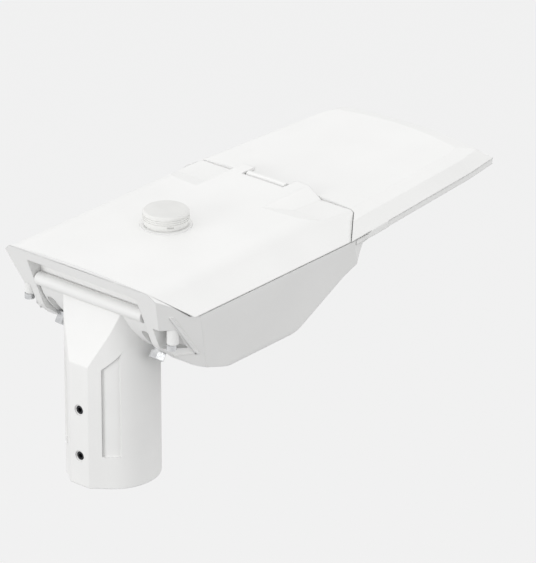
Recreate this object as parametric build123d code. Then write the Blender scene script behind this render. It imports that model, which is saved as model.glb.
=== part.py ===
from build123d import *
import os
from math import acos, atan2, cos, degrees, hypot, radians, sin, tan

# Post-top LED street light: a cast housing with a flat optical head in front and a gear compartment
# behind, a lid hinged at the head's edge, and a tilting spigot that drops over the pole top.
# Millimetres. Origin at the centre of the spigot's mouth, +Z up the pole, +X towards the head's tip.

# Spigot and tilt
POLE_TOP_RADIUS = 38.0
TUBE_WALL = 4.1
PAD_REACH = 45.0
PAD_HALF_WIDTH = 11.0
BORE_DEPTH = 110.0
PASSAGE_RADIUS = 29.0
NECK_BEND_Z = 118.0
NECK_TOP_X = -24.0
NECK_TOP_Z = 176.0
NECK_WALL = 5.5
RELIEF_DEPTH = 1.5
RELIEF_REAR_X = -37.5
RELIEF_TOP_X = -22.0
RELIEF_FRONT_X = 14.0
RELIEF_LOW_Z = 31.0
RELIEF_BEND_Z = 116.0
RELIEF_TOP_Z = 136.0
SET_SCREW_RADIUS = 4.0
SET_SCREW_Z = (28.5, 73.5)
SET_SCREW_SUNK = 1.2
HEX_SOCKET = 4.0
HEX_SOCKET_DEPTH = 4.5
PIVOT_X = 43.0
PIVOT_Z = 193.0
DRUM_RADIUS = 66.2
SADDLE_WALL = 5.0
SADDLE_HALF_WIDTH = 62.5
SADDLE_START = 192.0
SADDLE_END = 273.0
BEAD_ANGLE = 193.0
BEAD_RADIUS = 6.2
TILT_DOWN = 20.0
TILT_UP = 5.0
BOLT_ANGLE = 234.5
BOLT_Y = 56.0
BOLT_RADIUS = 4.0
SLOT_RADIUS = 4.6
SLOT_PLAY = 1.5
BOLT_HEAD_FLATS = 13.0
BOLT_HEAD_HEIGHT = 7.0
BOLT_DEPTH = 15.0

# Housing and lid
RIM_HALF_WIDTH = 109.0
RIM_Z = 184.5
BAND_ANGLE = 41.3
TOP_Z = 210.0
CROWN = 3.0
CREASE_RADIUS = 30.0
REAR_X = -45.0
RIM_REAR_X = -12.5
SEAM_X = 223.0
SEAM_CORNER_X = 198.0
SEAM_GAP = 0.8
SKIN = 3.0
WALL = 3.5
HULL_BOTTOM_Z = 104.5
KEEL_RADIUS = 18.0
BILGE_RADIUS = 11.0
RECESS_HALF_WIDTH = 64.0
RECESS_FRONT_X = 78.0
LIP_FRONT_X = 190.0
LIP_REAR_X = -8.0
LIP_HALF_WIDTH = 96.0
LIP_Z = 189.5
GASKET_HEIGHT = 2.0
HINGE_X = 211.0
HINGE_Z = 209.3
KNUCKLE_RADIUS = 4.2
KNUCKLE_HALF_WIDTH = 22.5
HINGE_PIN_RADIUS = 2.0
LID_SCREW_X = -16.0
LID_SCREW_Y = 84.0
LID_SCREW_RADIUS = 2.5
LID_SCREW_LOW_Z = 152.9
LID_SCREW_HEAD = 5.0
LID_BOSS_RADIUS = 6.5
LID_BOSS_LOW_Z = 188.5
POCKET_FRONT_X = 1.0
POCKET_HALF_WIDTH = 11.5
POCKET_LOW_Z = 146.0
POCKET_HIGH_Z = 168.0
POCKET_POST_RADIUS = 5.5
SCOOP_CREST_X = 152.0
SCOOP_FLOOR_X = 186.0
SCOOP_FLOOR_Z = 203.6
SCOOP_FRONT_Z = 201.6
TONGUE_CREST_Y = 33.0
TONGUE_FOOT_Y = 54.0
STIFFENER_Y = 40.0
STIFFENER_DEPTH = 6.0
CROSSBAR_X = 120.0
CROSSBAR_HALF_WIDTH = 90.0
RIB_THICKNESS = 2.0
CHEEK_OUTER_Y = 37.0
CHEEK_EYE_RADIUS = 3.7

# Optical head
RIM_START = (178.0, 112.3)
RIM_BEND = (390.0, 94.0)
RIM_CORNER = (432.0, 87.7)
HEAD_TIP_X = 440.5
CREST_START = (178.0, 97.0)
CREST_BEND = (383.0, 83.1)
CREST_CORNER = (408.6, 77.5)
CREST_TIP_X = 420.0
HEAD_CREASE_DROP = 5.0
HEAD_RIM_Z = 185.2
HEAD_TOP_Z = 202.3
CHAMBER_INSET = 23.0
CHAMBER_REAR_X = 266.0
CHAMBER_CEILING_Z = 198.0
GLASS_INSET = 18.0
GLASS_Z = 180.6
GLASS_THICKNESS = 4.0
FRAME_BOTTOM_Z = 179.4
FRAME_TOP_Z = 184.6

# Gear and small parts
TRAY_Z = 113.0
TRAY_X = (82.0, 138.0)
TRAY_HALF_WIDTH = 78.0
TRAY_SHEET = 1.5
TRAY_FLANGE = 8.0
TRAY_BOSSES = [(x, y) for x in (88.0, 132.0) for y in (-72.0, 72.0)]
TRAY_BOSS_RADIUS = 5.0
DRIVER_X = (94.0, 134.0)
DRIVER_Y = (-64.0, 28.0)
DRIVER_HEIGHT = 28.0
DRIVER_EAR_X = (104.0, 124.0)
DRIVER_EAR_REACH = 4.0
DRIVER_EAR_SHEET = 1.6
CASE_CORNER = 2.0
CONNECTION_Y = (36.0, 66.0)
SURGE_X = (94.0, 111.0)
SURGE_HEIGHT = 24.0
TERMINAL_X = (115.0, 134.0)
TERMINAL_HEIGHT = 17.0
TERMINAL_POLES = 3
TERMINAL_PITCH = 10.0
TERMINAL_FIRST_Y = 41.0
SUPPLY_LEAD_X = (117.5, 124.5)
LEAD_BEND = 3.5
LEAD_DOOR_Z = 189.5
GLAND_ANGLE = 240.0
GLAND_THREAD_RADIUS = 8.0
GLAND_FLATS = 19.0
GLAND_HEX_HEIGHT = 5.0
GLAND_DOME_RADIUS = 8.6
GLAND_MOUTH_RADIUS = 6.4
GLAND_DOME_HEIGHT = 8.5
GLAND_BORE_RADIUS = 4.5
GLAND_NUT_HEIGHT = 3.6
FRAME_SCREW_X = (272.0, 328.0, 384.0)
FRAME_SCREW_INSET = 8.8
BOARD_X = (268.0, 408.0)
LEAD_RADIUS = 0.9
BOARD_HALF_WIDTH = 63.0
BOARD_THICKNESS = 1.6
EMITTER_SIZE = 3.5
EMITTER_HEIGHT = 1.0
LED_COLUMNS = 6
LED_ROWS = 4
LENS_PITCH_X = 24.0
LENS_PITCH_Y = 32.0
LENS_RADIUS = 5.5
LENS_SHEET = 2.4
LENS_SIDES = 12
BOARD_SCREWS = [(x, y) for x in (302.0, 374.0) for y in (-57.5, 57.5)]

# Control socket and cap
SOCKET_X = 73.0
SOCKET_RADIUS = 20.0
SOCKET_FLANGE = 2.2
SOCKET_NECK_RADIUS = 16.5
SOCKET_NECK_HEIGHT = 5.0
SOCKET_BODY_RADIUS = 13.9
SOCKET_BODY_DEPTH = 17.0
SOCKET_WELL_RADIUS = 12.0
SOCKET_WELL_DEPTH = 6.0
SOCKET_NUT_FLATS = 34.0
SOCKET_NUT_HEIGHT = 6.0
FOAM_RADIUS = 19.0
FOAM_HEIGHT = 1.0
CAP_RADIUS = 21.0
CAP_HEIGHT = 10.6
CAP_GROOVES = 3
CAP_GROOVE_PITCH = 1.9
CAP_GROOVE_WIDTH = 0.7
CAP_BEVEL = 1.4
CAP_LIFT = 3.4
CAP_BORE_RADIUS = 16.8
CAP_BORE_DEPTH = 5.0
SOCKET_PAD_RADIUS = 23.5
SOCKET_PAD_HEIGHT = 0.8
FIT = 0.05

BORE_RADIUS = POLE_TOP_RADIUS + 0.6
TUBE_RADIUS = BORE_RADIUS + TUBE_WALL
SADDLE_INNER = DRUM_RADIUS + 0.5
SADDLE_OUTER = SADDLE_INNER + SADDLE_WALL
WASHER_SEAT = SADDLE_OUTER + 0.3
GLAND_SEAT = DRUM_RADIUS - 1.2
GLAND_NUT_SEAT = DRUM_RADIUS - WALL - 2.5
BOARD_Z = CHAMBER_CEILING_Z - BOARD_THICKNESS
HEAD_SEAT = WASHER_SEAT + 3.6
BAND_SLOPE = tan(radians(BAND_ANGLE))
REACH = 300.0


# Shaping helpers
def side_prism(points, half_width, y=0.0):
    """Extrude an outline drawn in X and Z equally to both sides of the plane at y."""
    face = make_face(Polyline(*points, close=True))
    return Pos(0, y, 0) * extrude(Plane.XZ * face, amount=half_width, both=True)


def cross_prism(points, x_start, x_end):
    """Extrude an outline drawn in Y and Z from x_start to x_end."""
    face = make_face(Polyline(*points, close=True))
    return extrude(Plane.YZ.offset(x_start) * face, amount=x_end - x_start)


def plan_prism(points, z_low, z_high):
    """Extrude an outline drawn in X and Y from z_low to z_high."""
    face = make_face(Polyline(*points, close=True))
    return extrude(Plane.XY.offset(z_low) * face, amount=z_high - z_low)


def block(x_low, x_high, y_low, y_high, z_low, z_high):
    """A rectangular block between two corners."""
    size = (x_high - x_low, y_high - y_low, z_high - z_low)
    middle = ((x_low + x_high) / 2, (y_low + y_high) / 2, (z_low + z_high) / 2)
    return Pos(*middle) * Box(*size)


def rod(start, direction, radius, length):
    """A round rod from a point along a direction."""
    plane = Plane(origin=start, z_dir=direction)
    return plane * Cylinder(radius, length, align=(Align.CENTER, Align.CENTER, Align.MIN))


def hex_rod(start, direction, across_flats, length):
    """A hexagonal rod from a point along a direction."""
    plane = Plane(origin=start, z_dir=direction)
    sketch = plane * RegularPolygon(across_flats / 2, 6, major_radius=False)
    return extrude(sketch, amount=length)


def rod_x(y, z, radius, x_start, x_end):
    """A round rod along X."""
    return rod((x_start, y, z), (1, 0, 0), radius, x_end - x_start)


def rod_y(x, z, radius, half_width, y=0.0):
    """A round rod along Y, centred on the plane at y."""
    return Pos(x, y, z) * Rot(90, 0, 0) * Cylinder(radius, 2 * half_width)


def around_pivot(radius, angle):
    """X and Z of a point at a radius and an angle round the tilt axis."""
    return PIVOT_X + radius * cos(radians(angle)), PIVOT_Z + radius * sin(radians(angle))


def outward(angle):
    """Direction away from the tilt axis at an angle."""
    return (cos(radians(angle)), 0, sin(radians(angle)))


def mirrored(shape):
    """A shape together with its mirror image across the centre plane."""
    return shape + mirror(shape, Plane.XZ)


def drum(radius, half_width):
    """A cylinder round the tilt axis."""
    return rod_y(PIVOT_X, PIVOT_Z, radius, half_width)


def pivot_wedge(angle_low, angle_high, half_width, y=0.0):
    """A wedge between two angles round the tilt axis."""
    reach = 3 * DRUM_RADIUS
    corners = [(PIVOT_X, PIVOT_Z), around_pivot(reach, angle_low)]
    corners += [around_pivot(reach, (angle_low + angle_high) / 2), around_pivot(reach, angle_high)]
    return side_prism(corners, half_width, y)


def crown_cylinder(crest_z, crown, half_width):
    """A wide cylinder along X whose top is a shallow crown, crown high over the half width."""
    radius = (half_width ** 2 + crown ** 2) / (2 * crown)
    return rod_x(0, crest_z - radius, radius, REAR_X - 40, HEAD_TIP_X + 40)


# Spigot
def build_spigot():
    """Tube for the pole top, flat clamping pad, leaning neck and the slotted saddle that tilts."""
    corner_distance = hypot(PAD_REACH, PAD_HALF_WIDTH)
    corner_angle = degrees(atan2(PAD_HALF_WIDTH, PAD_REACH))
    tangent_angle = radians(180 - corner_angle - degrees(acos(TUBE_RADIUS / corner_distance)))
    touch = (TUBE_RADIUS * cos(tangent_angle), TUBE_RADIUS * sin(tangent_angle))
    pad = [(-PAD_REACH, PAD_HALF_WIDTH), touch, (touch[0], -touch[1]), (-PAD_REACH, -PAD_HALF_WIDTH)]
    tube = rod((0, 0, 0), (0, 0, 1), TUBE_RADIUS, NECK_TOP_Z) + plan_prism(pad, 0, NECK_TOP_Z)
    behind = -PAD_REACH - 20
    behind_neck = [(-PAD_REACH, NECK_BEND_Z), (NECK_TOP_X, NECK_TOP_Z), (NECK_TOP_X, NECK_TOP_Z + 9),
                   (behind, NECK_TOP_Z + 9), (behind, NECK_BEND_Z)]
    tube -= side_prism(behind_neck, TUBE_RADIUS + 10)
    relief_ring = rod((0, 0, 0), (0, 0, 1), TUBE_RADIUS + 12, NECK_TOP_Z)
    relief_ring -= rod((0, 0, 0), (0, 0, 1), TUBE_RADIUS - RELIEF_DEPTH, NECK_TOP_Z)
    relief = [(RELIEF_REAR_X, RELIEF_LOW_Z), (RELIEF_REAR_X, RELIEF_BEND_Z), (RELIEF_TOP_X, RELIEF_TOP_Z),
              (RELIEF_FRONT_X, RELIEF_TOP_Z), (RELIEF_FRONT_X, RELIEF_LOW_Z)]
    tube -= relief_ring & side_prism(relief, TUBE_RADIUS + 15)

    saddle = drum(SADDLE_OUTER, SADDLE_HALF_WIDTH)
    saddle &= pivot_wedge(SADDLE_START, SADDLE_END, SADDLE_HALF_WIDTH)
    bead_x, bead_z = around_pivot(SADDLE_OUTER - 0.5, BEAD_ANGLE)
    spigot = tube + saddle + rod_y(bead_x, bead_z, BEAD_RADIUS, SADDLE_HALF_WIDTH)
    spigot -= drum(SADDLE_INNER, SADDLE_HALF_WIDTH + 5)
    spigot -= rod((0, 0, -1), (0, 0, 1), BORE_RADIUS, BORE_DEPTH + 1)
    passage = rod((0, 0, 0), (0, 0, 1), PASSAGE_RADIUS, PIVOT_Z)
    spigot -= passage - side_prism([(x + NECK_WALL, z) for x, z in behind_neck], TUBE_RADIUS)
    for side in (-1, 1):
        spigot -= tilt_slot(side * BOLT_Y)
    for z in SET_SCREW_Z:
        spigot -= rod((-PAD_REACH - 1, 0, z), (1, 0, 0), SET_SCREW_RADIUS + FIT, 14)
        spigot -= rod((-PAD_REACH - 1, 0, z), (1, 0, 0), SET_SCREW_RADIUS + 1, 2)
    return spigot


def tilt_slot(y):
    """A slot round the tilt axis, as long as the tilt needs."""
    first = BOLT_ANGLE - TILT_DOWN - SLOT_PLAY
    last = BOLT_ANGLE + TILT_UP + SLOT_PLAY
    ring = drum(SADDLE_OUTER + 10, REACH) - drum(SADDLE_INNER - 5, REACH)
    slot = ring & pivot_wedge(first, last, SLOT_RADIUS, y)
    for angle in (first, last):
        x, z = around_pivot(SADDLE_INNER - 5, angle)
        slot += rod((x, y, z), outward(angle), SLOT_RADIUS, SADDLE_WALL + 15)
    return slot


def build_set_screws():
    """Two hexagon-socket set screws that bite on the pole top."""
    screws = []
    for z in SET_SCREW_Z:
        length = PAD_REACH - BORE_RADIUS - SET_SCREW_SUNK - 0.2
        screw = rod((-PAD_REACH + SET_SCREW_SUNK, 0, z), (1, 0, 0), SET_SCREW_RADIUS, length)
        screw -= hex_rod((-PAD_REACH, 0, z), (1, 0, 0), HEX_SOCKET, HEX_SOCKET_DEPTH)
        screws.append(screw)
    return Compound(children=screws)


# Lid and its parting line
def lip_ring(z_low, z_high):
    """A wall's width round the gear compartment: the housing's lip, the gasket or the lid's rib."""
    ring = block(LIP_REAR_X, LIP_FRONT_X, -LIP_HALF_WIDTH, LIP_HALF_WIDTH, z_low, z_high)
    return ring - block(LIP_REAR_X + WALL, LIP_FRONT_X - WALL, WALL - LIP_HALF_WIDTH, LIP_HALF_WIDTH - WALL,
                        z_low - 1, z_high + 1)


def lid_plan(grow):
    """Plan outline of the lid with its cut-off front corners, grown by a gap."""
    run = SEAM_X - SEAM_CORNER_X
    seam_half_width = RIM_HALF_WIDTH - (HEAD_TOP_Z - 2 - RIM_Z) / BAND_SLOPE
    rise = RIM_HALF_WIDTH - seam_half_width
    length = hypot(run, rise)
    reach = rise * SEAM_CORNER_X + run * RIM_HALF_WIDTH + grow * length
    outer = RIM_HALF_WIDTH + 12
    corner = ((reach - run * outer) / rise, outer)
    seam = (SEAM_X + grow, (reach - rise * (SEAM_X + grow)) / run)
    rear = REAR_X - 40
    return [(rear, -outer), (corner[0], -outer), (seam[0], -seam[1]), seam, corner, (rear, outer)]


def lid_rear_cut(drop, reach=70.0):
    """Everything behind and below the lid's raked rear rim, lowered by a gap."""
    top = (REAR_X, TOP_Z - drop)
    low = (RIM_REAR_X, RIM_Z - drop)
    behind = REAR_X - 40
    return side_prism([(REAR_X, TOP_Z + 20), top, low, (RIM_REAR_X, RIM_Z - reach), (behind, RIM_Z - reach),
                       (behind, TOP_Z + 20)], REACH)


def scoop(depth):
    """The two hollows in the lid's front corners that leave the hinge tongue standing."""
    crest_x = SCOOP_CREST_X - depth
    side = [(crest_x, TOP_Z + 4), (SCOOP_FLOOR_X - depth / 2, SCOOP_FLOOR_Z - depth),
            (SEAM_X + 20, SCOOP_FRONT_Z - depth), (SEAM_X + 20, TOP_Z + 30), (crest_x, TOP_Z + 30)]
    crest_y = TONGUE_CREST_Y - depth
    foot_y = TONGUE_FOOT_Y - depth
    flank = [(crest_y, TOP_Z + 6), (foot_y, 202.5), (foot_y, 180), (130, 180), (130, 240), (crest_y, 240)]
    return mirrored(side_prism(side, REACH) & cross_prism(flank, 140, SEAM_X + 20))


def lid_body(depth):
    """Solid form of the lid, drawn in from its outer surface by a depth."""
    side_shift = depth / sin(radians(BAND_ANGLE))
    low = (RIM_HALF_WIDTH - side_shift, RIM_Z)
    high = (low[0] - (TOP_Z - depth - RIM_Z) / BAND_SLOPE, TOP_Z - depth)
    crest = (0, TOP_Z + CROWN - depth)
    top = ThreePointArc((high[0], high[1]), crest, (-high[0], high[1]))
    sides = Polyline((-high[0], high[1]), (-low[0], low[1]), low, high)
    section = make_face([top, sides])
    creases = section.vertices().filter_by(lambda vertex: vertex.Y > RIM_Z + 10)
    section = fillet(creases, CREASE_RADIUS - depth)
    body = extrude(Plane.YZ.offset(REAR_X - 20) * section, amount=SEAM_X + 40 - REAR_X)
    return body - scoop(depth)


def build_lid():
    """Thin cast lid: crowned top, side bands, front hollows, hinge tongue, ribs and screw bosses."""
    lid = lid_body(0) - lid_body(SKIN)
    lid -= lid_rear_cut(0)
    inside = lid_body(SKIN - 0.5) - lid_rear_cut(0)
    rib = lip_ring(LIP_Z + GASKET_HEIGHT, TOP_Z + 20)
    rib_low = TOP_Z - STIFFENER_DEPTH
    stiffener = block(0, LIP_FRONT_X - WALL, STIFFENER_Y, STIFFENER_Y + RIB_THICKNESS, rib_low, TOP_Z + 10)
    crossbar = block(CROSSBAR_X, CROSSBAR_X + RIB_THICKNESS, -CROSSBAR_HALF_WIDTH, CROSSBAR_HALF_WIDTH,
                     rib_low, TOP_Z + 10)
    boss = rod((LID_SCREW_X, LID_SCREW_Y, LID_BOSS_LOW_Z), (0, 0, 1), LID_BOSS_RADIUS, 30)
    cheek_y = KNUCKLE_HALF_WIDTH + 2
    eye_half_width = (CHEEK_OUTER_Y - cheek_y) / 2
    cheek = block(HINGE_X - 5, HINGE_X + 5, cheek_y, CHEEK_OUTER_Y, HINGE_Z - 3, TOP_Z + 10)
    cheek += rod_y(HINGE_X, HINGE_Z, CHEEK_EYE_RADIUS, eye_half_width, cheek_y + eye_half_width)
    lid += inside & (rib + mirrored(stiffener) + crossbar + mirrored(boss) + mirrored(cheek))
    lid &= plan_prism(lid_plan(0), 150, 260)
    lid -= block(HINGE_X - 7, SEAM_X + 5, -KNUCKLE_HALF_WIDTH - 2, KNUCKLE_HALF_WIDTH + 2, 190, 240)
    lid -= rod_y(HINGE_X, HINGE_Z, HINGE_PIN_RADIUS + FIT, 35)
    for side in (-1, 1):
        lid -= rod((LID_SCREW_X, side * LID_SCREW_Y, 180), (0, 0, 1), LID_SCREW_RADIUS + 0.5, 16)
    lid += rod((SOCKET_X, 0, TOP_Z), (0, 0, 1), SOCKET_PAD_RADIUS, CROWN + SOCKET_PAD_HEIGHT)
    lid += rod((SOCKET_X, 0, TOP_Z - 1), (0, 0, 1), SOCKET_PAD_RADIUS - 3, CROWN)
    lid -= rod((SOCKET_X, 0, 190), (0, 0, 1), SOCKET_BODY_RADIUS + 0.1, 50)
    return lid


# Housing
def outline_face(start, bend, corner, tip_x, z):
    """A plan outline with straight sides, a bend in each and a bowed front, at a height."""
    left = [(x, -y) for x, y in (corner, bend, start)]
    front = ThreePointArc(left[0], (tip_x, 0), corner)
    return Plane.XY.offset(z) * make_face([front, Polyline(corner, bend, start, *reversed(left))])


def head_outline(inset=0.0):
    """Plan outline of the optical head, drawn in from its rim."""
    start = (RIM_START[0], RIM_START[1] - inset)
    bend = (RIM_BEND[0] - 0.1 * inset, RIM_BEND[1] - inset)
    corner = (RIM_CORNER[0] - 0.95 * inset, RIM_CORNER[1] - 0.9 * inset)
    return outline_face(start, bend, corner, HEAD_TIP_X - inset, 0)


def towards(near, far, share):
    """The point a share of the way from one plan point to another, and past it over one."""
    return tuple(n + share * (f - n) for n, f in zip(near, far))


def framed(inset, rear_x):
    """The head's outline drawn in from its rim and cut off at the rear."""
    return head_outline(inset) & (Pos(rear_x + REACH / 2, 0) * Rectangle(REACH, REACH))


def frame_screw_places():
    """Where the glass frame's screws stand, on a line beside the glass."""
    taper = (RIM_START[1] - RIM_BEND[1]) / (RIM_BEND[0] - RIM_START[0])
    places = []
    for x in FRAME_SCREW_X:
        y = RIM_START[1] - taper * (x - RIM_START[0]) - FRAME_SCREW_INSET
        places += [(x, y), (x, -y)]
    return places


def raked_corners():
    """The hull's plan, with bevelled rear corners that lean forward towards the bottom."""
    faces = []
    for z in (TOP_Z + 10, HULL_BOTTOM_Z - 10):
        x = -28 - 0.686 * (z - 178)
        points = [(x - 27.3, 60), (x + 32.7, 115), (REACH, 115), (REACH, -115), (x + 32.7, -115),
                  (x - 27.3, -60)]
        faces.append(Plane.XY.offset(z) * make_face(Polyline(*points, close=True)))
    return loft(faces, ruled=True)


def recess(grow):
    """The space for the spigot's saddle, drawn outwards by a wall's thickness."""
    drum_rear = PIVOT_X - DRUM_RADIUS + grow
    side = [(-90, 80), (-90, 199 + grow), (-41, 199 + grow), (drum_rear, PIVOT_Z + grow / 2),
            (RECESS_FRONT_X + grow, PIVOT_Z + grow / 2), (RECESS_FRONT_X + grow, 80)]
    return side_prism(side, RECESS_HALF_WIDTH + grow) - drum(DRUM_RADIUS - grow, REACH)


def build_hull():
    """Outer form of the gear compartment, without its hollow."""
    drop = SEAM_GAP
    side = [(REAR_X + 1, TOP_Z - drop), (-18, 146), (10, 124), (55, 108), (75, HULL_BOTTOM_Z),
            (138, HULL_BOTTOM_Z), (150, 112), (200, 148), (228, 161), (256, 165), (256, HEAD_RIM_Z),
            (230, HEAD_RIM_Z), (SEAM_X, RIM_Z - drop), (RIM_REAR_X, RIM_Z - drop)]
    keel = make_face(Polyline(*side, close=True))
    keel = fillet(keel.vertices().filter_by(lambda vertex: vertex.Y < 163 and vertex.X < 240), KEEL_RADIUS)
    half = [(80, TOP_Z), (RIM_HALF_WIDTH, RIM_Z), (107.5, 178), (88.5, HULL_BOTTOM_Z)]
    section = make_face(Polyline(*half, *[(-y, z) for y, z in reversed(half)], close=True))
    section = fillet(section.vertices().filter_by(lambda vertex: vertex.Y < 180), BILGE_RADIUS)
    hull = extrude(Plane.XZ * keel, amount=REACH, both=True)
    hull &= extrude(Plane.YZ.offset(REAR_X - 20) * section, amount=REACH + 60)
    hull &= raked_corners()
    plan = extrude(Plane.XY.offset(90) * head_outline(), amount=130) + block(-60, 190, -115, 115, 90, 220)
    hull &= plan
    return hull - (beside_front(0) & block(150, 300, -150, 150, 90, FRAME_BOTTOM_Z))


def head_level(share, z):
    """The head's outline at a height, a share of the way from its rim to its crest, or past them."""
    points = [towards(near, far, share) for near, far in
              ((RIM_START, CREST_START), (RIM_BEND, CREST_BEND), (RIM_CORNER, CREST_CORNER))]
    return outline_face(*points, HEAD_TIP_X + share * (CREST_TIP_X - HEAD_TIP_X), z)


def build_head():
    """Outer form of the optical head: bands at its sides and tip, a broken crease and a shallow crown."""
    rise = HEAD_TOP_Z - HEAD_RIM_Z
    bands = loft([head_level(0, HEAD_RIM_Z), head_level(1.2, HEAD_RIM_Z + 1.2 * rise)], ruled=True)
    touch = 1 - HEAD_CREASE_DROP / rise
    share_per_mm = 1 / 7.0
    low_share = touch - share_per_mm * (rise - HEAD_CREASE_DROP)
    high_share = touch + share_per_mm * (HEAD_CREASE_DROP + 5)
    crease = loft([head_level(low_share, HEAD_RIM_Z), head_level(high_share, HEAD_TOP_Z + 5)], ruled=True)
    head = bands & crease & crown_cylinder(HEAD_TOP_Z + 3.2, 3.2, 92)
    return head - plan_prism(lid_plan(SEAM_GAP), 150, 240)


def build_skirt():
    """Thin edge under the head's rim between the lid and the glass frame."""
    outline = head_outline(0.8) & (Pos(231.5, 0) * Rectangle(51, REACH))
    return extrude(Plane.XY.offset(FRAME_BOTTOM_Z) * outline, amount=RIM_Z - SEAM_GAP - FRAME_BOTTOM_Z)


def beside_front(shift):
    """The space beside the hull's narrowed front, drawn inwards by a wall."""
    rear_x = 198 - 3 * shift
    plan = [(rear_x, 112), (242 - shift, 87 - shift), (264, 85 - shift), (264, 140), (rear_x, 140)]
    return mirrored(plan_prism(plan, 90, 230))


def gear_hollow():
    """The hollow of the gear compartment, clear of the saddle's recess and its walls."""
    floor_z = HULL_BOTTOM_Z + WALL
    mouth_x = LIP_FRONT_X - WALL
    side = [(8, 230), (8, 134), (18, 126), (57, 112), (76, floor_z), (136, floor_z), (148, 116), (198, 152),
            (226, 166), (248, 171), (248, 194), (230, 194), (222, 186), (mouth_x, 186), (mouth_x, 230)]
    half = [(LIP_HALF_WIDTH - WALL, 230), (LIP_HALF_WIDTH - WALL, 186), (103, 180), (103, 176), (86.5, 114),
            (78, floor_z)]
    section = half + [(-y, z) for y, z in reversed(half)]
    hollow = side_prism(side, REACH) & cross_prism(section, 0, 260)
    rear_x = LIP_REAR_X + WALL
    rear = [(rear_x, 230), (rear_x, 174), (-16, 182), (-16, 140), (10, 140), (10, 230)]
    hollow -= beside_front(WALL + 1)
    hollow += side_prism(rear, RECESS_HALF_WIDTH + 2)
    return hollow - recess(WALL)


def build_housing():
    """Hull, head, deck under the lid, gasket lip, hinge knuckle, bosses, pockets and optical chamber."""
    housing = build_hull() + build_head() + build_skirt()
    lip = lip_ring(178, LIP_Z)
    deck = block(LIP_FRONT_X - WALL, SEAM_X + 6, -LIP_HALF_WIDTH, LIP_HALF_WIDTH, 183, LIP_Z)
    housing += lip + (deck & plan_prism(lid_plan(-7), 150, 240))
    housing += block(SEAM_X - 8, SEAM_X + 6, -80, 80, 183, LIP_Z)
    web = block(HINGE_X - 3, HINGE_X + 3, -KNUCKLE_HALF_WIDTH, KNUCKLE_HALF_WIDTH, LIP_Z - 1, HINGE_Z)
    housing += web + rod_y(HINGE_X, HINGE_Z, KNUCKLE_RADIUS, KNUCKLE_HALF_WIDTH)
    housing -= recess(0)
    hollow = gear_hollow()
    for x, y in TRAY_BOSSES:
        height = TRAY_Z - HULL_BOTTOM_Z + 1
        hollow -= rod((x, y, HULL_BOTTOM_Z - 1), (0, 0, 1), TRAY_BOSS_RADIUS, height)
    x, z = around_pivot(DRUM_RADIUS - 16, BOLT_ANGLE)
    for side in (-1, 1):
        hollow -= rod((x, side * BOLT_Y, z), outward(BOLT_ANGLE), 8.0, 14)
    boss_x, boss_z = around_pivot(GLAND_NUT_SEAT, GLAND_ANGLE)
    hollow -= rod((boss_x, 0, boss_z), outward(GLAND_ANGLE), 13.0, 5)
    housing -= hollow
    for side in (-1, 1):
        housing -= corner_pocket(side)
        housing += lid_screw_boss(side)
        housing -= rod((LID_SCREW_X, side * LID_SCREW_Y, 140), (0, 0, 1), LID_SCREW_RADIUS + 0.4, 60)
        housing -= rod((x, side * BOLT_Y, z), outward(BOLT_ANGLE), BOLT_RADIUS + FIT, 30)
    housing -= rod_y(HINGE_X, HINGE_Z, HINGE_PIN_RADIUS + FIT, KNUCKLE_HALF_WIDTH + 1)
    gland_x, gland_z = around_pivot(DRUM_RADIUS - 10, GLAND_ANGLE)
    housing -= rod((gland_x, 0, gland_z), outward(GLAND_ANGLE), GLAND_THREAD_RADIUS + FIT, 20)
    gland_x, gland_z = around_pivot(GLAND_SEAT, GLAND_ANGLE)
    housing -= rod((gland_x, 0, gland_z), outward(GLAND_ANGLE), 12.0, 10)
    chamber = Plane.XY.offset(150) * framed(CHAMBER_INSET, CHAMBER_REAR_X)
    housing -= extrude(chamber, amount=CHAMBER_CEILING_Z - 150)
    housing -= rod_x(0, LEAD_DOOR_Z, 4.0, 245, CHAMBER_REAR_X + 2)
    for x, y in TRAY_BOSSES:
        housing -= rod((x, y, TRAY_Z - 8), (0, 0, 1), 2.0 + FIT, 10)
    for x, y in BOARD_SCREWS:
        housing -= rod((x, y, CHAMBER_CEILING_Z - 1), (0, 0, 1), 1.5 + FIT, 4.5)
    for x, y in frame_screw_places():
        housing -= rod((x, y, HEAD_RIM_Z - 1), (0, 0, 1), 1.5 + FIT, 7)
    return housing


def corner_pocket(side):
    """Pocket in a rear corner of the hull, round the boss of a lid screw."""
    middle = side * LID_SCREW_Y
    return block(-60, POCKET_FRONT_X, middle - POCKET_HALF_WIDTH, middle + POCKET_HALF_WIDTH,
                 POCKET_LOW_Z, POCKET_HIGH_Z)


def lid_screw_boss(side):
    """Boss that carries a lid screw across its pocket."""
    return rod((LID_SCREW_X + 2, side * LID_SCREW_Y, 153), (0, 0, 1), POCKET_POST_RADIUS, 16)


def build_clamp_bolts():
    """Two hexagon bolts that clamp the saddle against the housing's drum, heads down and rearwards."""
    bolts = []
    for side in (-1, 1):
        x, z = around_pivot(DRUM_RADIUS - BOLT_DEPTH, BOLT_ANGLE)
        bolt = rod((x, side * BOLT_Y, z), outward(BOLT_ANGLE), BOLT_RADIUS,
                   HEAD_SEAT - DRUM_RADIUS + BOLT_DEPTH)
        x, z = around_pivot(HEAD_SEAT, BOLT_ANGLE)
        bolt += hex_rod((x, side * BOLT_Y, z), outward(BOLT_ANGLE), BOLT_HEAD_FLATS, BOLT_HEAD_HEIGHT)
        bolts.append(bolt)
    return Compound(children=bolts)


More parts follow.
